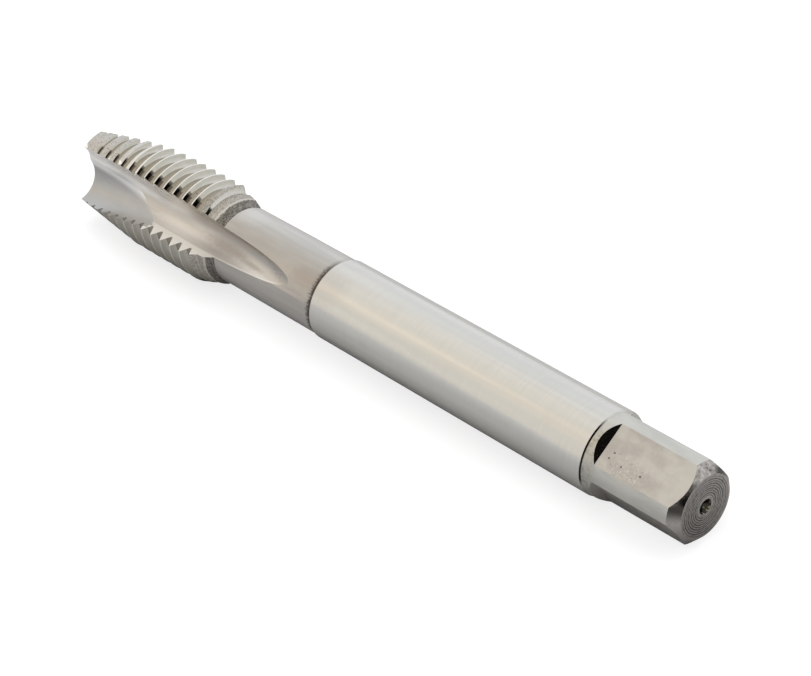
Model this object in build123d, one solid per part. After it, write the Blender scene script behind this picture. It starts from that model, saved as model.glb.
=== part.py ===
from build123d import *
from math import acos, atan, ceil, cos, degrees, floor, radians, sin, tan
import os

# A machine tap for M14 x 2 right-hand threads in through holes: one bar of high speed steel, turned,
# ground and milled. The axis of the tap is the X axis. The square end is at X = 0 and the tip points
# along +X. Angles about the axis are counted from +Y towards +Z. All sizes are in millimetres and degrees.

overall_length = 110.0

# Shank and neck
shank_dia = 11.0
shank_front = 61.3          # where the shank ends and the neck starts
shank_edge = 0.17           # chamfer on the front edge of the shank
neck_dia = 10.66

# Driving square
square_width = 9.0          # across the flats
square_length = 12.5
long_flat_length = 13.3     # the second flat was milled further than the others
square_angle = 56.7         # direction that the first flat faces
square_wall_slope = 46.0    # lean of the wall at the end of each flat
tang_dia = 10.69            # the turned end that the flats are milled on
tang_length = 14.4
end_face_dia = 8.3
end_cone_length = 1.17

# Centre holes for grinding the tap between centres
centre_dia = 2.0
centre_pilot_dia = 1.0
centre_depth = 3.0
centre_angle = 60.0
tip_centre_dia = 1.7

# Threaded head
thread_dia = 14.1
thread_back = 84.1          # end of the full thread
pitch = 2.0
thread_angle = 60.0
crest_flat = 0.19
root_flat = 0.33
thread_phase = 0.3          # a groove crosses the +Y side this far past a whole pitch from X = 0
collar_front = 82.9         # unground collar behind the thread
collar_back = 81.4
collar_front_dia = 12.6
collar_back_dia = 12.0
head_back = 80.1            # foot of the cone from the collar to the neck
run_out_dia = 12.2          # the last grooves, over the collar, are no deeper than this

# Tapered lead, with each land relieved behind its cutting edge
tip_dia = 11.8
lead_length = 11.0
lead_relief = 0.30          # eccentricity of the ground cone

# Straight flutes, ground by a large wheel
flute_count = 3
first_flute_angle = 30.0
core_dia = 6.6
flute_bottom_radius = 2.15
flute_offset = 0.25         # of the bottom arc, towards the heel
heel_wall_slope = 30.7      # both measured from the line out of the axis
cutting_wall_slope = 39.9
flute_full_depth = 86.0     # where the wheel starts to leave the work
wheel_radius = 100.0

# Spiral point: an angled gash that deepens each flute at the tip
gash_radius = 3.46
gash_centre_out = 5.02      # from the axis, on the tip plane
gash_centre_side = -2.31    # towards the cutting edge
gash_wall_slope = 44.0      # its flat wall on the heel side, from the line out of the axis
gash_lean = 7.9             # the gash comes out of the flute at this angle
gash_twist = 8.9            # and moves away from the cutting edge at this one
gash_length = 21.0

overshoot = 1.0             # how far a cutter passes the surface that it leaves

axial = Vector(1, 0, 0)
section_plane = Plane.YZ    # sketches across the axis: x is outwards, y is to the side
pattern_step = 360.0 / flute_count
clear_radius = thread_dia / 2 + 2 * overshoot


def turned_blank():
    """The bar after turning and cylindrical grinding."""
    shank_r = shank_dia / 2
    neck_r = neck_dia / 2
    tang_r = tang_dia / 2
    thread_r = thread_dia / 2
    outline = [
        (0, 0),
        (0, end_face_dia / 2),
        (end_cone_length, tang_r),
        (tang_length - (shank_r - tang_r), tang_r),
        (tang_length, shank_r),
        (shank_front - shank_edge, shank_r),
        (shank_front, neck_r),
        (head_back, neck_r),
        (collar_back, collar_back_dia / 2),
        (collar_front, collar_front_dia / 2),
        (thread_back, thread_r),
        (overall_length, thread_r),
        (overall_length, 0),
    ]
    face = make_face(Plane.XZ * Polyline(*outline, close=True))
    return revolve(face, Axis.X)


def centre_hole(dia, pilot_dia, depth):
    """Cutter for a centre hole that opens at X = 0 and goes in along +X."""
    cone_depth = (dia - pilot_dia) / 2 / tan(radians(centre_angle / 2))
    outline = [
        (-overshoot, 0),
        (-overshoot, dia / 2),
        (0, dia / 2),
        (cone_depth, pilot_dia / 2),
        (depth, pilot_dia / 2),
        (depth + pilot_dia / 2, 0),
    ]
    return revolve(make_face(Plane.XZ * Polyline(*outline, close=True)), Axis.X)


def square_cutter(length):
    """Cutter for a flat that faces +Y, with its leaning end wall."""
    flat = square_width / 2
    outer = shank_dia / 2 + overshoot
    wall_run = (outer - flat) * tan(radians(square_wall_slope))
    outline = [
        (-overshoot, flat),
        (length, flat),
        (length + wall_run, outer),
        (-overshoot, outer),
    ]
    face = make_face(Plane.XY * Polyline(*outline, close=True))
    return extrude(face, amount=shank_dia, both=True)


def heel_wall_foot():
    """Where the bottom arc of a flute that opens towards +Y meets its heel wall."""
    centre = Vector(core_dia / 2 + flute_bottom_radius, flute_offset)
    heel = radians(heel_wall_slope)
    return centre + Vector(-sin(heel), cos(heel)) * flute_bottom_radius


def flute_section():
    """Section of a flute that opens towards +Y: a round bottom between two straight walls."""
    centre = Vector(core_dia / 2 + flute_bottom_radius, flute_offset)
    heel = radians(heel_wall_slope)
    cutting = radians(cutting_wall_slope)
    heel_start = heel_wall_foot()
    cutting_start = centre + Vector(-sin(cutting), -cos(cutting)) * flute_bottom_radius
    bottom = centre - Vector(flute_bottom_radius, 0)
    heel_run = (clear_radius - heel_start.X) / cos(heel)
    cutting_run = (clear_radius - cutting_start.X) / cos(cutting)
    heel_end = heel_start + Vector(cos(heel), sin(heel)) * heel_run
    cutting_end = cutting_start + Vector(cos(cutting), -sin(cutting)) * cutting_run
    outline = [
        Line(heel_end, heel_start),
        ThreePointArc(heel_start, bottom, cutting_start),
        Line(cutting_start, cutting_end),
        Line(cutting_end, heel_end),
    ]
    return make_face([section_plane * edge for edge in outline])


def flute_cutter():
    """A straight run to the tip, and the arc in which the wheel leaves the neck."""
    section = Pos(X=flute_full_depth) * flute_section()
    straight = extrude(section, overall_length + overshoot - flute_full_depth, dir=axial)
    wheel_centre = core_dia / 2 + wheel_radius
    exit_height = neck_dia / 2 + overshoot
    exit_angle = degrees(acos((wheel_centre - exit_height) / wheel_radius))
    wheel_axis = Axis((flute_full_depth, wheel_centre, 0), (0, 0, -1))
    run_out = revolve(section, wheel_axis, exit_angle)
    return straight + run_out


def gash_section():
    """Section of the gash on the tip plane: a round side and a flat wall, open away from the axis."""
    centre = Vector(gash_centre_out, gash_centre_side)
    slope = radians(gash_wall_slope)
    wall_start = centre + Vector(-sin(slope), cos(slope)) * gash_radius
    bottom = centre - Vector(gash_radius, 0)
    side = centre - Vector(0, gash_radius)
    run = (clear_radius - wall_start.X) / cos(slope)
    wall_end = wall_start + Vector(cos(slope), sin(slope)) * run
    corner = Vector(clear_radius, side.Y)
    outline = [
        Line(wall_end, wall_start),
        ThreePointArc(wall_start, bottom, side),
        Line(side, corner),
        Line(corner, wall_end),
    ]
    return make_face([section_plane * edge for edge in outline])


def gash_cutter():
    """What the spiral point wheel sweeps in the flute that opens towards +Y, short of the heel wall."""
    direction = Vector(-1, tan(radians(gash_lean)), tan(radians(gash_twist)))
    front = Vector(overall_length, 0, 0) - direction * overshoot
    sweep_length = (gash_length + overshoot) * direction.length
    gash = extrude(Pos(front) * gash_section(), sweep_length, dir=direction)
    foot = heel_wall_foot()
    heel = radians(heel_wall_slope)
    reach = Vector(cos(heel), sin(heel)) * (2 * clear_radius)
    aside = Vector(-sin(heel), cos(heel)) * (2 * clear_radius)
    corners = [foot - reach, foot + reach, foot + reach + aside, foot - reach + aside]
    beyond = section_plane * make_face(Polyline(*corners, close=True))
    behind_wall = extrude(
        Pos(X=overall_length - gash_length - overshoot) * beyond,
        gash_length + 3 * overshoot,
        dir=axial,
    )
    return gash - behind_wall


def land_angles():
    """Directions of the heel and the cutting edge of the land behind the first flute."""
    centre = Vector(core_dia / 2 + flute_bottom_radius, flute_offset)
    rim = thread_dia / 2

    def wall_angle(slope, side):
        foot = centre + Vector(-sin(slope), side * cos(slope)) * flute_bottom_radius
        along = Vector(cos(slope), side * sin(slope))
        half = foot.dot(along)
        run = -half + (half**2 - foot.length**2 + rim**2) ** 0.5
        end = foot + along * run
        return degrees(atan(end.Y / end.X))

    heel = first_flute_angle + wall_angle(radians(heel_wall_slope), 1)
    cutting = first_flute_angle + wall_angle(radians(cutting_wall_slope), -1) + pattern_step
    return heel, cutting


def lead_cutter():
    """What the relief grinder takes off the lead of the first land: all that is outside its cone."""
    heel, cutting = land_angles()
    middle = (heel + cutting) / 2
    taper = (thread_dia - tip_dia) / 2 / lead_length
    start = overall_length - lead_length
    margin = 2 * lead_relief / taper
    back = start - margin
    front = overall_length + overshoot
    # The eccentric cone has its full radius at the cutting edge and falls away to the heel.
    shift_angle = middle + 90
    at_edge = lead_relief * cos(radians(shift_angle - cutting))
    back_radius = thread_dia / 2 + margin * taper - at_edge
    front_radius = tip_dia / 2 - overshoot * taper - at_edge
    cone_outline = [(back, 0), (back, back_radius), (front, front_radius), (front, 0)]
    cone = revolve(make_face(Plane.XZ * Polyline(*cone_outline, close=True)), Axis.X)
    offset_y = lead_relief * cos(radians(shift_angle))
    offset_z = lead_relief * sin(radians(shift_angle))
    cone = Pos(Y=offset_y, Z=offset_z) * cone
    half_width = (cutting - heel) / 2 + (pattern_step - (cutting - heel)) / 4
    ring_outline = [
        (back, core_dia / 2),
        (back, clear_radius),
        (front, clear_radius),
        (front, core_dia / 2),
    ]
    ring = make_face(Plane.XZ * Polyline(*ring_outline, close=True))
    ring = Rot(X=middle - half_width - 90) * ring
    sector = revolve(ring, Axis.X, 2 * half_width)
    return sector - cone


def groove_cutter():
    """One thread groove across the first land, a sector of the right-hand helix."""
    heel, cutting = land_angles()
    run_past = (pattern_step - (cutting - heel)) / 4
    start = heel - run_past
    sweep_angle = cutting - heel + 2 * run_past
    half_angle = radians(thread_angle / 2)
    crest_r = thread_dia / 2
    depth = (pitch - crest_flat - root_flat) / 2 / tan(half_angle)
    above = crest_flat / 4 / tan(half_angle)
    outer_half = root_flat / 2 + (depth + above) * tan(half_angle)
    root_r = crest_r - depth
    outline = [
        (-root_flat / 2, root_r),
        (root_flat / 2, root_r),
        (outer_half, crest_r + above),
        (-outer_half, crest_r + above),
    ]
    # Drawn on the +Z side of the axis and turned to the start of the sector.
    face = Rot(X=start - 90) * make_face(Plane.XZ * Polyline(*outline, close=True))
    # A helix along +X that starts on the -Z side of the axis.
    helix = Rot(Y=90) * Helix(pitch, pitch * sweep_angle / 360, crest_r - depth / 2)
    groove = sweep(face, Rot(X=start + 90) * helix, is_frenet=True)
    return Pos(X=thread_phase + pitch * start / 360) * groove, start


def run_out_core():
    """The core that the last grooves leave as the thread grinder lifts out over the collar."""
    outline = [
        (head_back, 0),
        (head_back, run_out_dia / 2),
        (collar_front + pitch, run_out_dia / 2),
        (collar_front + pitch, 0),
    ]
    return revolve(make_face(Plane.XZ * Polyline(*outline, close=True)), Axis.X)


def around(shape, first_angle=0.0):
    """One copy of the shape for each flute, turned about the axis."""
    return [Rot(X=first_angle + pattern_step * i) * shape for i in range(flute_count)]


def all_grooves():
    """The thread grooves of every land, each land's on the same helix."""
    groove, start = groove_cutter()
    grooves = []
    for land in range(flute_count):
        turn = start + pattern_step * land
        first_x = thread_phase + pitch * turn / 360
        lowest = ceil((collar_back - first_x) / pitch)
        highest = floor((overall_length - first_x) / pitch)
        for count in range(lowest, highest + 1):
            shift = pitch * (land / flute_count + count)
            cutter = Pos(X=shift) * Rot(X=pattern_step * land) * groove
            if first_x + pitch * count < collar_front:
                cutter -= run_out_core()
            grooves.append(cutter)
    return grooves


def thread_tap():
    body = turned_blank()
    body -= centre_hole(centre_dia, centre_pilot_dia, centre_depth)
    tip_hole = centre_hole(tip_centre_dia, centre_pilot_dia, centre_depth)
    body -= Pos(X=overall_length) * Rot(Z=180) * tip_hole
    flat_lengths = [square_length, long_flat_length, square_length, square_length]
    for side, length in enumerate(flat_lengths):
        body -= Rot(X=square_angle + 90 * side) * square_cutter(length)
    body -= around(flute_cutter(), first_flute_angle)
    body -= around(gash_cutter(), first_flute_angle)
    body -= around(lead_cutter())
    body -= all_grooves()
    return body


os.makedirs("parts", exist_ok=True)
tap = thread_tap()
tap.label = "tap_body"
export_step(tap, "parts/tap_body.step")
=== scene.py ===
import math

import bmesh
import bpy
from mathutils import Matrix, Vector


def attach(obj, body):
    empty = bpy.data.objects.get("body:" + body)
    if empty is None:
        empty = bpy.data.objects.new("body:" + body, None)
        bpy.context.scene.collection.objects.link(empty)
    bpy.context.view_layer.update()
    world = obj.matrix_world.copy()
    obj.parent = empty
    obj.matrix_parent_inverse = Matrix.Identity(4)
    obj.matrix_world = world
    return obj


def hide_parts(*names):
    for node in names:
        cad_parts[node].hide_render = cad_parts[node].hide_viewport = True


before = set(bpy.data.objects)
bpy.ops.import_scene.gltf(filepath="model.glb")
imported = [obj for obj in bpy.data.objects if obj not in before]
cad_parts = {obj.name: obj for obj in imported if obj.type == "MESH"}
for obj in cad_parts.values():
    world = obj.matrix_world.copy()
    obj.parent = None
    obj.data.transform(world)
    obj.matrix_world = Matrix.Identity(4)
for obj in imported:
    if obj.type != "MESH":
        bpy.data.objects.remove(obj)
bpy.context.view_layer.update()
scene = bpy.context.scene
scene.view_settings.view_transform = "Standard"


# The viewpoint. The camera stands beyond the square end of the tap, above it and to its +Y side,
# and looks along the tap towards its tip. All places are in metres.
CAMERA_PLACE = Vector((-0.14558, 0.16763, 0.18295))
CAMERA_RIGHT = Vector((-0.68388829, -0.72692691, -0.06224203))
CAMERA_UP = Vector((0.38886425, -0.43536209, 0.81193869))
SENSOR_WIDTH = 36.0
FOCAL_LENGTH = 112.70
NEAREST_SEEN, FARTHEST_SEEN = 0.01, 20
camera_data = bpy.data.cameras.new("camera")
camera_data.sensor_width = SENSOR_WIDTH
camera_data.lens = FOCAL_LENGTH
camera_data.clip_start = NEAREST_SEEN
camera_data.clip_end = FARTHEST_SEEN
camera = bpy.data.objects.new("camera", camera_data)
scene.collection.objects.link(camera)
turn = Matrix((CAMERA_RIGHT, CAMERA_UP, CAMERA_RIGHT.cross(CAMERA_UP))).transposed()
camera.matrix_world = Matrix.Translation(CAMERA_PLACE) @ turn.to_4x4()
scene.camera = camera


# The studio floor: a pale board that the tap lies on, painted a plain grey with a painted shadow that
# deepens it close to the tap, seen mostly in the steel's reflections. Its paint is the first finish, so the
# two classes for finishes stand here.
class Wire:
    """A value on its way through a finish. Arithmetic on it adds the Math nodes."""

    def __init__(self, finish, socket):
        self.finish = finish
        self.socket = socket

    def math(self, operation, *values):
        return self.finish.node("ShaderNodeMath", {"operation": operation}, dict(enumerate((self, *values))))

    def __add__(self, other):
        return self.math("ADD", other)

    def __sub__(self, other):
        return self.math("SUBTRACT", other)

    def __mul__(self, other):
        return self.math("MULTIPLY", other)

    def __truediv__(self, other):
        return self.math("DIVIDE", other)

    def __pow__(self, other):
        return self.math("POWER", other)

    def __rsub__(self, other):
        return self.math("MULTIPLY", -1.0).math("ADD", other)

    def __abs__(self):
        return self.math("ABSOLUTE")

    __radd__ = __add__
    __rmul__ = __mul__

    def rise(self, low, high):
        """0 below low, 1 above high, and a smooth way between."""
        return self.finish.node(
            "ShaderNodeMapRange",
            {"interpolation_type": "SMOOTHSTEP"},
            {"Value": self, "From Min": low, "From Max": high, "To Min": 0.0, "To Max": 1.0},
        )


class Finish:
    """One material with its nodes. Sizes of spots and patches are in millimetres along x, y and z."""

    def __init__(self, name, tree=None):
        if tree is None:
            self.material = bpy.data.materials.new(name)
            self.material.use_nodes = True
            tree = self.material.node_tree
        self.tree = tree
        self.tree.nodes.clear()

    def node(self, kind, settings=None, sockets=None, output=0):
        made = self.tree.nodes.new(kind)
        for key, value in (settings or {}).items():
            if key == "stops":
                stops = made.color_ramp.elements
                while len(stops) < len(value):
                    stops.new(0.5)
                for stop, (place, colour) in zip(stops, value):
                    stop.position = place
                    stop.color = colour if isinstance(colour, tuple) else (colour,) * 3 + (1,)
            else:
                setattr(made, key, value)
        for key, value in (sockets or {}).items():
            if isinstance(value, Wire):
                self.tree.links.new(value.socket, made.inputs[key])
            else:
                made.inputs[key].default_value = value
        return Wire(self, made.outputs[output]) if made.outputs else None

    def parts(self, vector):
        return [self.node("ShaderNodeSeparateXYZ", {}, {0: vector}, axis) for axis in range(3)]

    def on_piece(self):
        return self.node("ShaderNodeTexCoord", output="Object")

    def place(self):
        """Where a point is on its piece, in millimetres along, aside and up."""
        return [part * 1000 for part in self.parts(self.on_piece())]

    def grain(self, size, detail=2.0, rough=0.5, start=0.0):
        """Soft noise between 0 and 1, with spots of this size."""
        spread = self.node("ShaderNodeMapping", {}, {
            "Vector": self.on_piece(),
            "Location": (start, start, start),
            "Scale": tuple(1000.0 / one for one in size)})
        return self.node("ShaderNodeTexNoise", {}, {
            "Vector": spread, "Scale": 1.0, "Detail": detail, "Roughness": rough})

    def spot(self, middle, size, ragged=0.5):
        """A soft patch of this size, 1 in its middle and 0 outside it."""
        spread = self.node("ShaderNodeMapping", {}, {
            "Vector": self.on_piece(),
            "Location": tuple(-2 * one / long for one, long in zip(middle, size)),
            "Scale": tuple(2000.0 / long for long in size)})
        away = self.node("ShaderNodeVectorMath", {"operation": "LENGTH"}, {0: spread}, "Value")
        return 1 - (away + self.grain((0.7, 0.5, 0.5), 3.0, start=middle[0]) * ragged).rise(0.5, 1.3)

    def mix(self, share, one, other):
        # A colour Mix node keeps its colours in sockets 6 and 7, and its result in output 2.
        return self.node("ShaderNodeMix", {"data_type": "RGBA"}, {0: share, 6: one, 7: other}, 2)

    def metal(self, colour, roughness, height=None, depth=0.01):
        """Bare steel. The height is a relief between 0 and 1 that is this deep, in millimetres."""
        sockets = {"Base Color": colour, "Metallic": 1.0, "Roughness": roughness}
        if height is not None:
            sockets["Normal"] = self.node("ShaderNodeBump", {}, {
                "Strength": 1.0, "Distance": depth / 1000, "Height": height})
        self.node("ShaderNodeOutputMaterial", {}, {
            "Surface": self.node("ShaderNodeBsdfPrincipled", {}, sockets)})
        return self.material


FLOOR_HEIGHT_AT_TIP = -0.006268
FLOOR_HEIGHT_AT_SHANK = -0.0055
FLOOR_X_AT_TIP = 0.0841
FLOOR_X_AT_SHANK = 0.0144
FLOOR_SIZE = 6.0
TAP_MIDDLE = 55.0           # millimetres from the square end
FLOOR_REACH = 150.0         # millimetres from the tap to where the floor has its full colour
FLOOR_FOR_CAMERA = 1.11     # what the camera sees of the bare floor, all over
# The floor darkens close to the tap: a painted shadow.
FLOOR_TONES_WITH_PAINTED_SHADOW = [             # by the share of that reach
    (0.0, 0.30), (0.027, 0.40), (0.042, 0.47), (0.057, 0.52),
    (0.083, 0.56), (0.143, 0.61), (0.4, 0.69), (1.0, 0.74),
]
floor_slope = math.atan((FLOOR_HEIGHT_AT_SHANK - FLOOR_HEIGHT_AT_TIP) / (FLOOR_X_AT_TIP - FLOOR_X_AT_SHANK))
bpy.ops.object.select_all(action="DESELECT")
bpy.ops.mesh.primitive_plane_add(
    size=FLOOR_SIZE, location=(FLOOR_X_AT_TIP, 0, FLOOR_HEIGHT_AT_TIP), rotation=(0, floor_slope, 0)
)
floor = bpy.context.object
floor.name = "floor"
bpy.ops.object.transform_apply(location=True, rotation=True, scale=True)
floor_paint = Finish("floor_paint")
along, aside, _ = floor_paint.place()
beyond_end = (abs(along - TAP_MIDDLE) - TAP_MIDDLE).math("MAXIMUM", 0.0)
spread = (beyond_end ** 2 + aside ** 2) ** 0.5 / FLOOR_REACH
floor_tone_with_painted_shadow = floor_paint.node("ShaderNodeValToRGB", {"stops": FLOOR_TONES_WITH_PAINTED_SHADOW}, {0: spread})
seen = floor_paint.node("ShaderNodeLightPath", output="Is Camera Ray")
lift = seen * (FLOOR_FOR_CAMERA - floor_tone_with_painted_shadow)
matt = floor_paint.node("ShaderNodeBsdfDiffuse", {}, {"Color": floor_tone_with_painted_shadow})
glow = floor_paint.node("ShaderNodeEmission", {}, {"Color": (1, 1, 1, 1), "Strength": lift})
both = floor_paint.node("ShaderNodeAddShader", {}, {0: matt, 1: glow})
floor_paint.node("ShaderNodeOutputMaterial", {}, {"Surface": both})
floor.data.materials.append(floor_paint.material)


# The studio round the tap: a bright cloth tent with a large soft light overhead. It has a warm
# strip on the camera's side, and one dark opening beyond the square end, from beside the camera
# round to just past the axis of the tap.
TENT_LEVEL = 1.2            # brightness of a ramp colour of 1
TENT_ROUND = [              # round the tap's length, from the camera's side over the top
    (0.00, (0.79, 0.765, 0.715, 1)),
    (0.16, (0.82, 0.79, 0.73, 1)),
    (0.24, (0.86, 0.81, 0.73, 1)),
    (0.30, (0.94, 0.87, 0.77, 1)),
    (0.36, (0.86, 0.82, 0.75, 1)),
    (0.44, (0.82, 0.80, 0.76, 1)),
    (0.54, (0.86, 0.84, 0.80, 1)),
    (0.62, (0.87, 0.87, 0.855, 1)),
    (0.74, (0.85, 0.865, 0.88, 1)),
    (0.90, (0.84, 0.86, 0.88, 1)),
    (1.00, (0.80, 0.82, 0.84, 1)),
]
OVERHEAD_BASE, OVERHEAD_GAIN = 0.20, 1.60   # the soft light grows with the square of the height
OPENING_FROM, OPENING_TO = 134.0, 192.0     # the dark opening, in degrees seen from above
OPENING_DARKNESS = 0.995
room = bpy.data.worlds.new("room")
scene.world = room
room.use_nodes = True
air = Finish("room", room.node_tree)
way_x, way_y, way_z = air.parts(air.node("ShaderNodeTexCoord", output="Generated"))
turn_share = way_z.math("ARCTAN2", way_y) / math.pi
tent = air.node("ShaderNodeValToRGB", {"stops": TENT_ROUND}, {0: turn_share})


def past(azimuth, blur):
    """1 for directions counter-clockwise of this one seen from above, 0 for those clockwise of it."""
    turned = math.radians(azimuth)
    return (way_y * math.cos(turned) - way_x * math.sin(turned)).rise(-blur, blur)


opening = past(OPENING_FROM, 0.05) * (1 - past(OPENING_TO, 0.02))
opening = opening * way_z.rise(0.0, 0.05) * (1 - way_z.rise(0.68, 0.80))
tent_level = TENT_LEVEL * (1 - opening * OPENING_DARKNESS)
overhead = way_z * way_z * OVERHEAD_GAIN + OVERHEAD_BASE
seen = air.node("ShaderNodeLightPath", output="Is Camera Ray")
scattered = air.node("ShaderNodeLightPath", output="Is Diffuse Ray")
plain = scattered * overhead + seen
plain_colour = air.node("ShaderNodeBackground", {}, {"Color": (1, 1, 1, 1), "Strength": plain})
mirrored = (1 - seen) * (1 - scattered) * tent_level
tent_colour = air.node("ShaderNodeBackground", {}, {"Color": tent, "Strength": mirrored})
sky = air.node("ShaderNodeAddShader", {}, {0: plain_colour, 1: tent_colour})
air.node("ShaderNodeOutputWorld", {}, {"Surface": sky})


# The tap: one bar of high speed steel. Its shape is the CAD solid's, with the faces joined into
# one skin, so that turned and ground surfaces shade smoothly and only real edges stay sharp.
TOUCHING = 1e-6             # metres between corners that are one
tap_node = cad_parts["tap_body"]
tap_mesh = tap_node.data.copy()
tap_mesh.name = "tap"
tap = bpy.data.objects.new("tap", tap_mesh)
scene.collection.objects.link(tap)
bpy.ops.object.select_all(action="DESELECT")
tap.select_set(True)
bpy.context.view_layer.objects.active = tap
if tap_mesh.has_custom_normals:
    bpy.ops.mesh.customdata_custom_splitnormals_clear()
bpy.ops.object.mode_set(mode="EDIT")
bpy.ops.mesh.select_mode(type="EDGE")
bpy.ops.mesh.select_all(action="SELECT")
bpy.ops.mesh.faces_shade_smooth()
bpy.ops.mesh.select_all(action="DESELECT")
bpy.ops.mesh.select_non_manifold(
    extend=False, use_wire=False, use_multi_face=False, use_non_contiguous=False, use_verts=False
)
bpy.ops.mesh.mark_sharp()
bpy.ops.mesh.select_all(action="SELECT")
bpy.ops.mesh.remove_doubles(threshold=TOUCHING)
bpy.ops.mesh.select_all(action="DESELECT")


# The end face: faced off in the lathe with a coarse feed. Its flat disc gives way to nine turned
# grooves round the centre hole, drawn inwards ring by ring from its edge. Sizes in millimetres.
FACE_EDGE = 4.15            # radius
FACE_MARGIN = 0.22          # left flat round the rings
OUTSIDE_FACE = FACE_EDGE - 0.3
RING_PITCH = 0.29
RING_DEPTHS = (0.020, 0.030, 0.024, 0.034, 0.028, 0.034, 0.026, 0.034, 0.024)
SOFT_EDGE = math.radians(6)  # faces that meet at less than this are one surface


def edges_of_openings(over=0.0):
    """Selects the edges that have a face on one side alone and lie outside this radius."""
    skin = bmesh.from_edit_mesh(tap_mesh)
    for edge in skin.edges:
        outside = all(math.hypot(v.co.y, v.co.z) * 1000 > over for v in edge.verts)
        edge.select_set(len(edge.link_faces) == 1 and outside)
    bmesh.update_edit_mesh(tap_mesh)


def draw_in(radius, inwards, deeper):
    """Draws the face on from its last ring, nearer to the axis and deeper, and gives its new radius."""
    bpy.ops.mesh.extrude_region_move(TRANSFORM_OT_translate={"value": (deeper / 1000, 0, 0)})
    scale = (radius - inwards) / radius
    bpy.ops.transform.resize(value=(1, scale, scale), center_override=(0, 0, 0))
    return radius - inwards


skin = bmesh.from_edit_mesh(tap_mesh)
for face in skin.faces:
    face.select_set(max(v.co.x for v in face.verts) < TOUCHING)
bmesh.update_edit_mesh(tap_mesh)
bpy.ops.mesh.delete(type="FACE")
edges_of_openings(OUTSIDE_FACE)
ring_radius = draw_in(FACE_EDGE, FACE_MARGIN, 0)
for depth in RING_DEPTHS:
    ring_radius = draw_in(ring_radius, RING_PITCH * 0.5, depth)
    ring_radius = draw_in(ring_radius, RING_PITCH * 0.5, -depth)
edges_of_openings()
bpy.ops.mesh.bridge_edge_loops()
bpy.ops.mesh.select_all(action="SELECT")
bpy.ops.mesh.faces_shade_smooth()
bpy.ops.mesh.normals_make_consistent(inside=False)
bpy.ops.mesh.select_all(action="DESELECT")
bpy.ops.object.mode_set(mode="OBJECT")
shape = bmesh.new()
shape.from_mesh(tap_mesh)
for edge in shape.edges:
    if len(edge.link_faces) == 2 and not edge.smooth and edge.calc_face_angle() < SOFT_EDGE:
        edge.smooth = True


# The sections of a flute and of its gash, by which the ground walls are told from the lands. A
# place in them is in millimetres out from the axis and aside towards the heel.
FLUTE_ANGLES = (30.0, 150.0, 270.0)
FLUTE_CENTRE, FLUTE_RADIUS = Vector((5.45, 0.25)), 2.15
HEEL_SLOPE, CUTTING_SLOPE = math.radians(30.7), math.radians(39.9)
FLUTE_FULL, WHEEL_RADIUS, CORE_RADIUS = 86.0, 100.0, 3.3
GASH_CENTRE, GASH_RADIUS, GASH_SLOPE = Vector((5.02, -2.31)), 3.46, math.radians(44.0)
GASH_LEAN, GASH_TWIST, GASH_LENGTH = math.radians(7.9), math.radians(8.9), 21.0
TIP_X = 110.0
ROUND_SLACK, WALL_SLACK, WALL_START_SLACK = 0.05, 0.04, 0.1     # how far off a place still counts


def near_wall(place, centre, radius, slope, side):
    """Whether a place is on the flat wall that leaves a round bottom at this slope."""
    foot = centre + radius * Vector((-math.sin(slope), side * math.cos(slope)))
    step = place - foot
    out = step.dot(Vector((math.cos(slope), side * math.sin(slope))))
    off = step.dot(Vector((-math.sin(slope), side * math.cos(slope))))
    return out > -WALL_START_SLACK and abs(off) < WALL_SLACK


def place_in_flute(centre):
    """Out and aside of a place, in the section of the flute that it is nearest to."""
    radius, angle = math.hypot(centre.y, centre.z), math.degrees(math.atan2(centre.z, centre.y))
    off = min(((angle - flute + 180) % 360 - 180 for flute in FLUTE_ANGLES), key=abs)
    return Vector((radius * math.cos(math.radians(off)), radius * math.sin(math.radians(off))))


def on_flute(centre):
    """Whether a place is on a flute. Behind its full depth, a flute rises with the wheel's arc."""
    place = place_in_flute(centre)
    if centre.x < FLUTE_FULL:
        wheel = CORE_RADIUS + WHEEL_RADIUS
        place.x = wheel - math.hypot(wheel - place.x, FLUTE_FULL - centre.x)
    return (
        abs((place - FLUTE_CENTRE).length - FLUTE_RADIUS) < ROUND_SLACK
        or near_wall(place, FLUTE_CENTRE, FLUTE_RADIUS, HEEL_SLOPE, 1)
        or near_wall(place, FLUTE_CENTRE, FLUTE_RADIUS, CUTTING_SLOPE, -1)
    )


def on_gash(centre):
    """Whether a place is on a gash, which moves out and aside the farther it is from the tip."""
    behind = TIP_X - centre.x
    place = place_in_flute(centre) - behind * Vector((math.tan(GASH_LEAN), math.tan(GASH_TWIST)))
    return behind < GASH_LENGTH and (
        abs((place - GASH_CENTRE).length - GASH_RADIUS) < ROUND_SLACK
        or near_wall(place, GASH_CENTRE, GASH_RADIUS, GASH_SLOPE, 1)
    )


# Where each finish lies on the bar. Places are in millimetres from the square end, and a lean is
# how far a face looks along the axis: 0 for a wall along the tap, 1 for one across it.
RINGS_TO = 0.04             # deeper than the deepest ring
HOLE_RADIUS, HOLE_DEPTH = 1.0, 5
CONE_TO, CONE_LEAN = 1.2, 0.3
FLAT_TO, FLAT_LEAN, FLAT_RADIUS = 14, 0.01, 5.25
FLAT_WALL_FROM, FLAT_WALL_TO, FLAT_WALL_LEAN = 12, 14.24, 0.5
SHANK_FROM, SHANK_TO = 14.41, 61.15
COLLAR_FROM, COLLAR_LEAN = 80.1, 0.7
THREAD_FROM, FLANK_LEAN = 84.1, 0.6
CREST_LEAN, CREST_FROM_RADIUS = 0.4, 5.9
GASH_FROM = 90
FIRST_LAND_FROM, FIRST_LAND_RADIUS = 107.5, 5.6
TIP_FACE_FROM = TIP_X - 0.01


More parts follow.
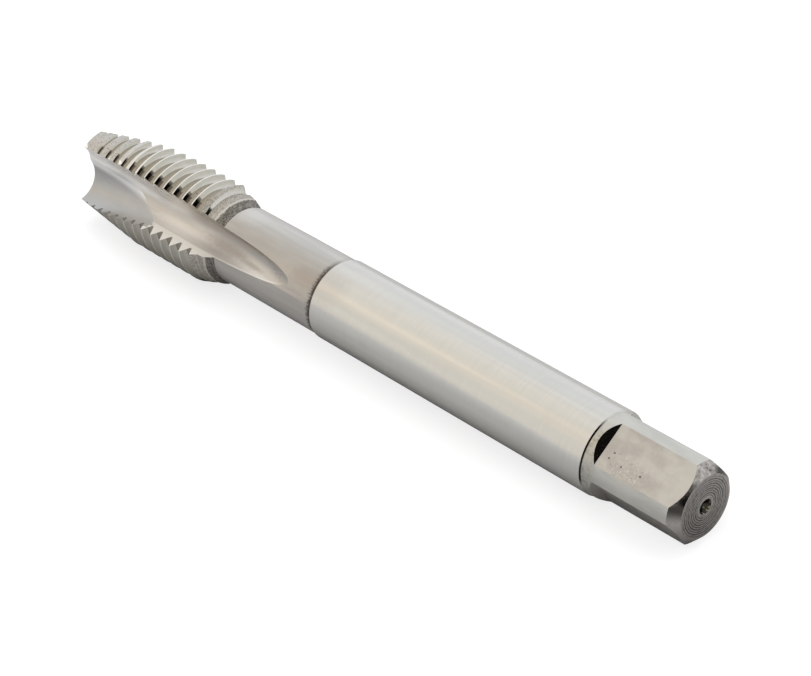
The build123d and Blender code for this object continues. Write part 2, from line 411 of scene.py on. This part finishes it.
def zone_of(centre, normal):
    """The name of the finish on a face, from its middle and the way it looks."""
    radius = math.hypot(centre.y, centre.z)
    if centre.x < RINGS_TO and HOLE_RADIUS < radius < FACE_EDGE:
        return "end_face"
    if radius < HOLE_RADIUS + 0.05 and (centre.x < HOLE_DEPTH or centre.x > TIP_X - HOLE_DEPTH):
        return "centre_hole"
    if centre.x < CONE_TO and normal.x < -CONE_LEAN:
        return "end_cone"
    if centre.x < FLAT_TO and abs(normal.x) < FLAT_LEAN and radius < FLAT_RADIUS:
        return "flat"
    if FLAT_WALL_FROM < centre.x < FLAT_WALL_TO and normal.x < -FLAT_WALL_LEAN:
        return "flat_wall"
    if centre.x < SHANK_TO:
        return "tang" if centre.x < SHANK_FROM else "shank"
    if THREAD_FROM < centre.x < TIP_FACE_FROM and abs(normal.x) > FLANK_LEAN:
        return "thread"
    if centre.x > TIP_FACE_FROM or (centre.x > GASH_FROM and on_gash(centre)):
        return "gash"
    if on_flute(centre):
        return "flute"
    if centre.x < COLLAR_FROM:
        return "neck"
    if centre.x < THREAD_FROM and abs(normal.x) < COLLAR_LEAN:
        return "collar"
    if centre.x > FIRST_LAND_FROM:
        return "crest" if radius > FIRST_LAND_RADIUS else "gash"
    return "crest" if abs(normal.x) < CREST_LEAN and radius > CREST_FROM_RADIUS else "thread"


# The shank: ground between centres, so that a fine lay runs round it, under a soft haze that runs
# along. It is a little duller on its upper side, close to the neck.
SHANK_GREY, SHANK_PALE = (0.635, 0.625, 0.60, 1), (0.69, 0.675, 0.64, 1)
SHANK_LAY, SHANK_PATCH, SHANK_DULL = (0.55, 0.54, 0.515, 1), (0.56, 0.54, 0.50, 1), (0.53, 0.50, 0.48, 1)
finishes = {}
steel = Finish("shank")
lay = steel.grain((0.07, 4.0, 4.0), 2.0)
haze = steel.grain((45.0, 1.3, 1.3), 1.5)
patches = steel.grain((3.0, 2.2, 2.2), 3.0, start=7.0)
near_neck = steel.spot((60.0, 3.4, 4.3), (8.0, 6.0, 5.0), 0.2)
colour = steel.mix(haze.rise(0.35, 0.68), SHANK_GREY, SHANK_PALE)
colour = steel.mix(lay.rise(0.35, 0.65) * 0.25, colour, SHANK_LAY)
colour = steel.mix(patches.rise(0.50, 0.78) * 0.15, colour, SHANK_PATCH)
colour = steel.mix(near_neck * 0.40, colour, SHANK_DULL)
finishes["shank"] = steel.metal(colour, haze * 0.08 + 0.15, lay, 0.0010)

# The turned end behind the square: thinner than the shank by a hair, lighter on its underside by painted
# light, with old grease left along the step, and with painted shade, black, in the step itself.
TANG_GREY, TANG_PALE, TANG_BELOW_PAINTED_LIGHT = (0.53, 0.52, 0.49, 1), (0.60, 0.59, 0.55, 1), (0.85, 0.83, 0.80, 1)
GREASE_THIN, GREASE_THICK = (0.42, 0.405, 0.35, 1), (0.25, 0.235, 0.19, 1)
STEP_PAINTED_SHADE = (0.015, 0.015, 0.02, 1)
steel = Finish("tang")
haze = steel.grain((5.0, 1.4, 1.4), 2.0)
stains = steel.grain((0.55, 0.40, 0.40), 3.0, start=2.0)
along, aside, up = steel.place()
by_step = along.rise(11.8, 13.6) * aside.rise(1.0, 3.0)
in_step_shade = along.rise(14.18, 14.25) * aside.rise(0.2, 2.4) * up.rise(-1.8, -0.4)
colour = steel.mix(haze.rise(0.35, 0.65), TANG_GREY, TANG_PALE)
# Painted light: the underside is lighter.
colour = steel.mix((1 - up.rise(-1.6, 0.2)) * 0.5, colour, TANG_BELOW_PAINTED_LIGHT)
colour = steel.mix(by_step * 0.5, colour, GREASE_THIN)
colour = steel.mix(stains.rise(0.42, 0.70) * by_step * 0.6, colour, GREASE_THICK)
# Painted shade, black, in the step itself.
colour = steel.mix(in_step_shade * 0.97, colour, STEP_PAINTED_SHADE)
finishes["tang"] = steel.metal(colour, haze * 0.10 + 0.24, haze, 0.0005)

# The flats: milled, with faint marks across them, stains, a painted highlight towards the square end, a
# patch of nicks and small pits, and four deeper pits.
FLAT_STAIN, FLAT_GREY, FLAT_END_PAINTED_HIGHLIGHT = (0.445, 0.42, 0.40, 1), (0.545, 0.525, 0.495, 1), (0.60, 0.585, 0.56, 1)
FLAT_MARK, NICK_BRIGHT = (0.62, 0.60, 0.56, 1), (0.74, 0.72, 0.68, 1)
PIT_BROWN, PIT_BLACK = (0.16, 0.135, 0.12, 1), (0.06, 0.045, 0.04, 1)
FLAT_PITS = ((11.36, 3.58, 3.03), (9.34, 3.76, 2.91), (6.51, 3.69, 2.96), (11.1, 2.9, 3.5))
steel = Finish("flat")
stains = steel.grain((2.6, 1.6, 1.6), 3.0, start=3.0)
marks = steel.grain((0.16, 1.5, 1.5), 2.0)
nicks = steel.grain((0.13, 0.45, 0.45), 2.0, start=5.0)
pits = steel.grain((0.30, 0.26, 0.26), 2.0, start=11.0)
along, aside, _ = steel.place()
pitted = (1 - along.rise(9.5, 12.0)) * along.rise(4.5, 6.6) * aside.rise(2.2, 3.2)
colour = steel.mix(stains.rise(0.35, 0.7), FLAT_STAIN, FLAT_GREY)
# Painted highlight, lighter towards the square end.
colour = steel.mix((1 - along.rise(1.5, 5.0)) * 0.5, colour, FLAT_END_PAINTED_HIGHLIGHT)
colour = steel.mix(marks.rise(0.5, 0.75) * 0.25, colour, FLAT_MARK)
colour = steel.mix(nicks.rise(0.56, 0.66) * pitted * 0.45, colour, NICK_BRIGHT)
colour = steel.mix(pits.rise(0.67, 0.71) * pitted * 0.75, colour, PIT_BROWN)
for pit in FLAT_PITS:
    colour = steel.mix(steel.spot(pit, (0.42, 0.34, 0.34), 0.6) * 0.95, colour, PIT_BLACK)
finishes["flat"] = steel.metal(colour, stains * 0.12 + 0.24, marks, 0.0015)

# The walls at the end of the flats: cut by the corner of the milling cutter, and bright, with no
# stain on them.
WALL_GREY = (0.5, 0.48, 0.46, 1)
steel = Finish("flat_wall")
finishes["flat_wall"] = steel.metal(WALL_GREY, steel.grain((0.3, 0.3, 0.3)) * 0.06 + 0.09)

# The cone at the square end: turned, with painted light low on its side and painted shade above that,
# and dull and mottled on top where it was rubbed.
CONE_PAINTED_LIGHT, CONE_PAINTED_SHADE, CONE_TOP = (0.47, 0.445, 0.43, 1), (0.07, 0.065, 0.06, 1), (0.37, 0.345, 0.325, 1)
RUBBED_PALE, RUBBED_DARK = (0.56, 0.53, 0.50, 1), (0.12, 0.105, 0.10, 1)
steel = Finish("end_cone")
rubbed = steel.grain((0.35, 0.45, 0.45), 3.0, 0.6, start=5.0)
_, aside, up = steel.place()
upper = (up + aside * 0.2).rise(3.0, 4.2)
round_axis = up.math("ARCTAN2", aside) * (180 / math.pi)
# Painted light low on the side and painted shade above it, by the angle round the axis.
low = steel.mix(round_axis.rise(-2.0, 22.0), CONE_PAINTED_LIGHT, CONE_PAINTED_SHADE)
colour = steel.mix(upper, low, CONE_TOP)
colour = steel.mix(rubbed.rise(0.50, 0.66) * upper, colour, RUBBED_PALE)
colour = steel.mix((1 - rubbed.rise(0.32, 0.44)) * (upper * 0.7 + 0.3), colour, RUBBED_DARK)
finishes["end_cone"] = steel.metal(colour, upper * 0.20 + 0.14, rubbed, 0.008)

# The steel of the end face: grey, with dirt left in its turned grooves, thicker the deeper they
# are.
FACE_PALE, FACE_DULL, GROOVE_DIRT = (0.48, 0.45, 0.43, 1), (0.28, 0.26, 0.245, 1), (0.085, 0.075, 0.07, 1)
steel = Finish("end_face")
along, _, _ = steel.place()
dirt = steel.grain((0.5, 0.45, 0.45), 3.0, 0.6)
fine = steel.grain((0.2, 0.16, 0.16), 2.0, start=3.0)
in_groove = along.rise(0.004, 0.026) * (fine.rise(0.3, 0.6) * 0.3 + 0.65)
colour = steel.mix(dirt.rise(0.42, 0.72), FACE_PALE, FACE_DULL)
colour = steel.mix(in_groove, colour, GROOVE_DIRT)
finishes["end_face"] = steel.metal(colour, 0.26, fine, 0.004)

# The centre holes: drilled in both ends to hold the bar while it was turned, with painted shade inside
# and olive patches of painted reflection.
HOLE_PAINTED_SHADE, HOLE_PAINTED_GLEAM = (0.035, 0.035, 0.028, 1), (0.26, 0.25, 0.17, 1)
steel = Finish("centre_hole")
gleam = steel.grain((0.5, 0.5, 0.5)).rise(0.52, 0.62)
# Painted shade inside the hole, with olive patches of painted reflection.
finishes["centre_hole"] = steel.metal(steel.mix(gleam, HOLE_PAINTED_SHADE, HOLE_PAINTED_GLEAM), 0.16)

# The neck: turned and hardened, with soft broad bands along it, a little brown low down from the heat, a
# colour round the axis that is partly a painted reflection, and painted shade, black, in the corner at the
# shank.
# Round the axis: partly a brown heat tint, partly a painted reflection.
NECK_ROUND_TINT_AND_REFLECTION = [              # in degrees round the axis
    (-180, (0.56, 0.545, 0.52, 1)),
    (-30, (0.66, 0.64, 0.62, 1)),
    (-9, (0.60, 0.57, 0.545, 1)),
    (18, (0.46, 0.43, 0.40, 1)),
    (42, (0.45, 0.42, 0.39, 1)),
    (62, (0.45, 0.425, 0.40, 1)),
    (78, (0.46, 0.44, 0.41, 1)),
    (96, (0.57, 0.55, 0.52, 1)),
    (120, (0.62, 0.60, 0.58, 1)),
    (180, (0.56, 0.545, 0.52, 1)),
]
NECK_CLOUD, NECK_BAND = (0.62, 0.595, 0.56, 1), (0.40, 0.375, 0.36, 1)
NECK_PALE, NECK_BROWN, NECK_CORNER_PAINTED_SHADE = (0.68, 0.655, 0.635, 1), (0.34, 0.295, 0.26, 1), (0.055, 0.045, 0.04, 1)
steel = Finish("neck")
clouds = steel.grain((7.0, 2.0, 2.0), 1.5, start=4.0)
bands = steel.grain((14.0, 0.9, 0.9), 1.5, start=6.0)
scratch = steel.grain((0.5, 0.15, 0.15), 3.0, 0.6)
along, aside, up = steel.place()
by_collar = steel.spot((79.0, -0.5, 5.3), (9.0, 5.0, 3.0))
by_shank = steel.spot((63.5, 3.6, 3.9), (9.0, 4.5, 5.0))
fade = aside.rise(-2.0, 2.6) * up.rise(-4.5, -2.0)
# Painted shade, black, in the corner at the shank.
corner = (1 - (along - (scratch - 0.5) * 2.0 * fade).rise(61.45, 62.25)) * (fade * 0.85 + 0.15)
neck_tint_and_reflection_stops = [((angle + 180) / 360, tint) for angle, tint in NECK_ROUND_TINT_AND_REFLECTION]
round_share = up.math("ARCTAN2", aside) / (2 * math.pi) + 0.5
colour = steel.node("ShaderNodeValToRGB", {"stops": neck_tint_and_reflection_stops}, {0: round_share})
colour = steel.mix(clouds.rise(0.40, 0.70) * 0.35, colour, NECK_CLOUD)
colour = steel.mix(bands.rise(0.42, 0.66) * 0.30, colour, NECK_BAND)
colour = steel.mix(by_collar * 0.5, colour, NECK_PALE)
colour = steel.mix(by_shank * 0.45, colour, NECK_BROWN)
colour = steel.mix(corner * 0.95, colour, NECK_CORNER_PAINTED_SHADE)
finishes["neck"] = steel.metal(colour, clouds * 0.10 + 0.28, scratch, 0.0006)

# The collar behind the thread: not ground after hardening, so it is grey and sandy, with a painted
# highlight as a pale band at its edge over a grimy foot.
SAND_DARK, SAND_PALE, SAND_WISP = (0.27, 0.25, 0.225, 1), (0.60, 0.57, 0.52, 1), (0.66, 0.63, 0.58, 1)
GRIME_DARK, GRIME_PALE, RIM_PAINTED_HIGHLIGHT = (0.085, 0.08, 0.07, 1), (0.33, 0.31, 0.285, 1), (0.78, 0.75, 0.70, 1)
steel = Finish("collar")
sand = steel.grain((0.17, 0.17, 0.17), 3.0, 0.6)
wisps = steel.grain((0.5, 0.5, 0.5), 2.0, start=9.0)
along, _, _ = steel.place()
foot = 1 - (along + (wisps - 0.5) * 0.3).rise(81.15, 81.45)
# Painted highlight: a pale band along the edge.
rim_highlight = (along + wisps * 0.2).rise(81.38, 81.5) * (1 - (along + wisps * 0.3).rise(81.66, 81.86))
grimy = steel.mix((sand + wisps * 0.35).rise(0.52, 0.86), GRIME_DARK, GRIME_PALE)
colour = steel.mix(sand.rise(0.34, 0.66), SAND_DARK, SAND_PALE)
colour = steel.mix(wisps.rise(0.45, 0.7) * 0.3, colour, SAND_WISP)
colour = steel.mix(foot * 0.92, colour, grimy)
colour = steel.mix(rim_highlight * 0.55, colour, RIM_PAINTED_HIGHLIGHT)
finishes["collar"] = steel.metal(colour, 0.5, sand, 0.05)

# The thread flanks: ground by the thread wheel and smooth, with a little grit at their feet and a painted
# dark reflection, nearly black, at the heel end of each groove.
CREST_RADIUS, TIP_RADIUS, LEAD_LENGTH = 7.05, 5.9, 11.0
LAND_START, LAND_PITCH = 57.0, 120.0        # degrees round the axis to a land's heel, and between lands
FLANK_GREY, FLANK_PALE, FLANK_FOOT = (0.455, 0.435, 0.375, 1), (0.515, 0.495, 0.43, 1), (0.70, 0.66, 0.63, 1)
GRIT_BROWN, FLANK_PIT, FLANK_PAINTED_DARK_REFLECTION = (0.20, 0.17, 0.15, 1), (0.07, 0.05, 0.05, 1), (0.11, 0.09, 0.075, 1)
THREAD_PITS = ((86.2, 1.3, 6.4), (88.4, 2.2, 6.1), (92.3, 1.5, 6.5))
steel = Finish("thread")
lay = steel.grain((0.06, 0.9, 0.9), 2.0)
grit = steel.grain((0.22, 0.22, 0.22), 3.0, start=2.0)
along, aside, up = steel.place()
out = (aside ** 2 + up ** 2) ** 0.5
crest = (TIP_X - along) * ((CREST_RADIUS - TIP_RADIUS) / LEAD_LENGTH) + TIP_RADIUS
deep = crest.math("MINIMUM", CREST_RADIUS) - out
round_axis = up.math("ARCTAN2", aside) * (180 / math.pi)
past_edge = (round_axis - LAND_START).math("FLOORED_MODULO", LAND_PITCH)
# Painted dark reflection at the heel end of each groove.
dark_reflection = (1 - past_edge.rise(12.0, 13.0)) * (1 - deep.rise(0.50, 0.56))
dark_reflection = dark_reflection * deep.rise(0.03, 0.08) * (1 - along.rise(106.5, 107.5))
colour = steel.mix(lay.rise(0.3, 0.7), FLANK_GREY, FLANK_PALE)
colour = steel.mix(deep.rise(0.30, 0.75) * 0.5, colour, FLANK_FOOT)
colour = steel.mix(grit.rise(0.6, 0.72) * deep.rise(0.5, 0.95) * 0.7, colour, GRIT_BROWN)
for pit in THREAD_PITS:
    colour = steel.mix(steel.spot(pit, (0.5, 0.4, 0.4), 0.6) * 0.9, colour, FLANK_PIT)
colour = steel.mix(dark_reflection * 0.8, colour, FLANK_PAINTED_DARK_REFLECTION)
finishes["thread"] = steel.metal(colour, grit * 0.05 + 0.06, grit, 0.002)

# The crests and the ground lead: bright thin lands, duller and speckled towards the tip, where
# the lead takes them down.
CREST_BRIGHT, LEAD_DULL, SPECK = (0.80, 0.77, 0.72, 1), (0.53, 0.505, 0.475, 1), (0.15, 0.12, 0.10, 1)
steel = Finish("crest")
along, _, _ = steel.place()
specks = steel.grain((0.20, 0.26, 0.26), 3.0, start=6.0)
lead = along.rise(98.0, 104.0)
colour = steel.mix(lead, CREST_BRIGHT, LEAD_DULL)
colour = steel.mix(specks.rise(0.58, 0.66) * lead * 0.85, colour, SPECK)
finishes["crest"] = steel.metal(colour, 0.22, specks, 0.006)

# The flutes: ground lengthwise with a large wheel, with brown patches where the wheel left, and their heel
# edge is rough there. Painted highlights lie along the heel near the tip, in cream at the bottom and where
# the wheel left, with painted shade in a crease there and a painted glint along the outer edge low down.
FLUTE_LOW, FLUTE_CLOUD, FLUTE_STREAK = (0.59, 0.56, 0.525, 1), (0.52, 0.485, 0.44, 1), (0.42, 0.39, 0.36, 1)
HEEL_BEHIND, HEEL_PAINTED_HIGHLIGHT = (0.50, 0.475, 0.45, 1), (1.0, 0.97, 0.94, 1)
BOTTOM_PAINTED_HIGHLIGHT, EXIT_PAINTED_HIGHLIGHT = (0.78, 0.745, 0.70, 1), (0.86, 0.82, 0.77, 1)
EXIT_BROWN, EXIT_CREASE_PAINTED_SHADE = (0.33, 0.295, 0.275, 1), (0.33, 0.305, 0.285, 1)
EDGE_ROUGH, EDGE_PAINTED_GLINT = (0.27, 0.25, 0.235, 1), (0.90, 0.87, 0.82, 1)
steel = Finish("flute")
streaks = steel.grain((6.0, 0.5, 0.5), 2.0)
clouds = steel.grain((6.0, 1.8, 1.8), 2.0, start=8.0)
fuzz = steel.grain((0.5, 0.16, 0.16), 3.0, start=5.0)
along, aside, up = steel.place()
out = (aside ** 2 + up ** 2) ** 0.5
rough_edge = (out + (fuzz - 0.5) * 0.5).rise(4.5, 4.9) * (1 - along.rise(75.0, 79.0)) * up.rise(1.9, 2.6)
edge_glint = out.rise(5.05, 5.25) * (1 - up.rise(1.6, 2.2))
# Painted highlight along the heel near the tip.
heel_colour_and_highlight = steel.mix(along.rise(85.0, 92.0), HEEL_BEHIND, HEEL_PAINTED_HIGHLIGHT)
colour = steel.mix(up.rise(1.8, 2.8), FLUTE_LOW, heel_colour_and_highlight)
colour = steel.mix(clouds.rise(0.35, 0.65) * 0.30, colour, FLUTE_CLOUD)
colour = steel.mix(streaks.rise(0.5, 0.75) * 0.25, colour, FLUTE_STREAK)
# Painted cream highlight at the bottom.
colour = steel.mix(steel.spot((89.0, 4.1, 1.0), (15.0, 3.0, 1.8)) * 0.7, colour, BOTTOM_PAINTED_HIGHLIGHT)
colour = steel.mix(steel.spot((79.5, 3.4, 1.6), (13.0, 2.6, 2.2)) * 0.8, colour, EXIT_BROWN)
# Painted shade in a crease, and a painted cream highlight, where the wheel left.
colour = steel.mix(steel.spot((74.5, 3.95, 1.6), (15.0, 1.1, 0.7)) * 0.5, colour, EXIT_CREASE_PAINTED_SHADE)
colour = steel.mix(steel.spot((71.0, 4.8, 1.1), (13.0, 1.8, 1.4)) * 0.6, colour, EXIT_PAINTED_HIGHLIGHT)
colour = steel.mix(rough_edge * (fuzz.rise(0.35, 0.6) * 0.30 + 0.20), colour, EDGE_ROUGH)
# Painted glint along the outer edge low down.
colour = steel.mix(edge_glint * 0.6, colour, EDGE_PAINTED_GLINT)
finishes["flute"] = steel.metal(colour, clouds * 0.10 + 0.34, streaks, 0.0015)

# The gashes of the spiral point and the tip: ground last, cooler in hue, brighter towards the heel by a
# painted highlight, with painted shade below the heel, and with faint marks of the wheel along them.
GASH_LOW, GASH_HEEL_PAINTED_HIGHLIGHT, GASH_CLOUD = (0.455, 0.45, 0.445, 1), (1.0, 0.99, 0.975, 1), (0.60, 0.605, 0.61, 1)
GASH_MARK, GASH_SHADE = (0.40, 0.395, 0.385, 1), (0.38, 0.39, 0.40, 1)
steel = Finish("gash")
marks = steel.grain((2.6, 0.25, 0.25), 2.0, start=1.0)
clouds = steel.grain((4.5, 1.8, 1.8), 1.5)
_, _, up = steel.place()
below_heel = steel.spot((101.5, 2.5, 2.25), (9.0, 1.6, 1.0), 0.2)
# Painted highlight towards the heel.
colour = steel.mix(up.rise(0.9, 2.0), GASH_LOW, GASH_HEEL_PAINTED_HIGHLIGHT)
colour = steel.mix(clouds.rise(0.36, 0.66) * 0.15, colour, GASH_CLOUD)
colour = steel.mix(marks.rise(0.5, 0.75) * 0.28, colour, GASH_MARK)
# Painted shade below the heel.
colour = steel.mix(below_heel * 0.22, colour, GASH_SHADE)
finishes["gash"] = steel.metal(colour, clouds * 0.08 + 0.32, marks, 0.0012)


# The finished tap: every face takes the finish of its zone, and the dressed bar stands in for the
# plain solid. It is one piece, so it rides on the part's only body.
tap_mesh.materials.clear()
for material in finishes.values():
    tap_mesh.materials.append(material)
zones = list(finishes)
for face in shape.faces:
    face.material_index = zones.index(zone_of(face.calc_center_median() * 1000, face.normal))
shape.to_mesh(tap_mesh)
shape.free()
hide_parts("tap_body")
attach(tap, "root")
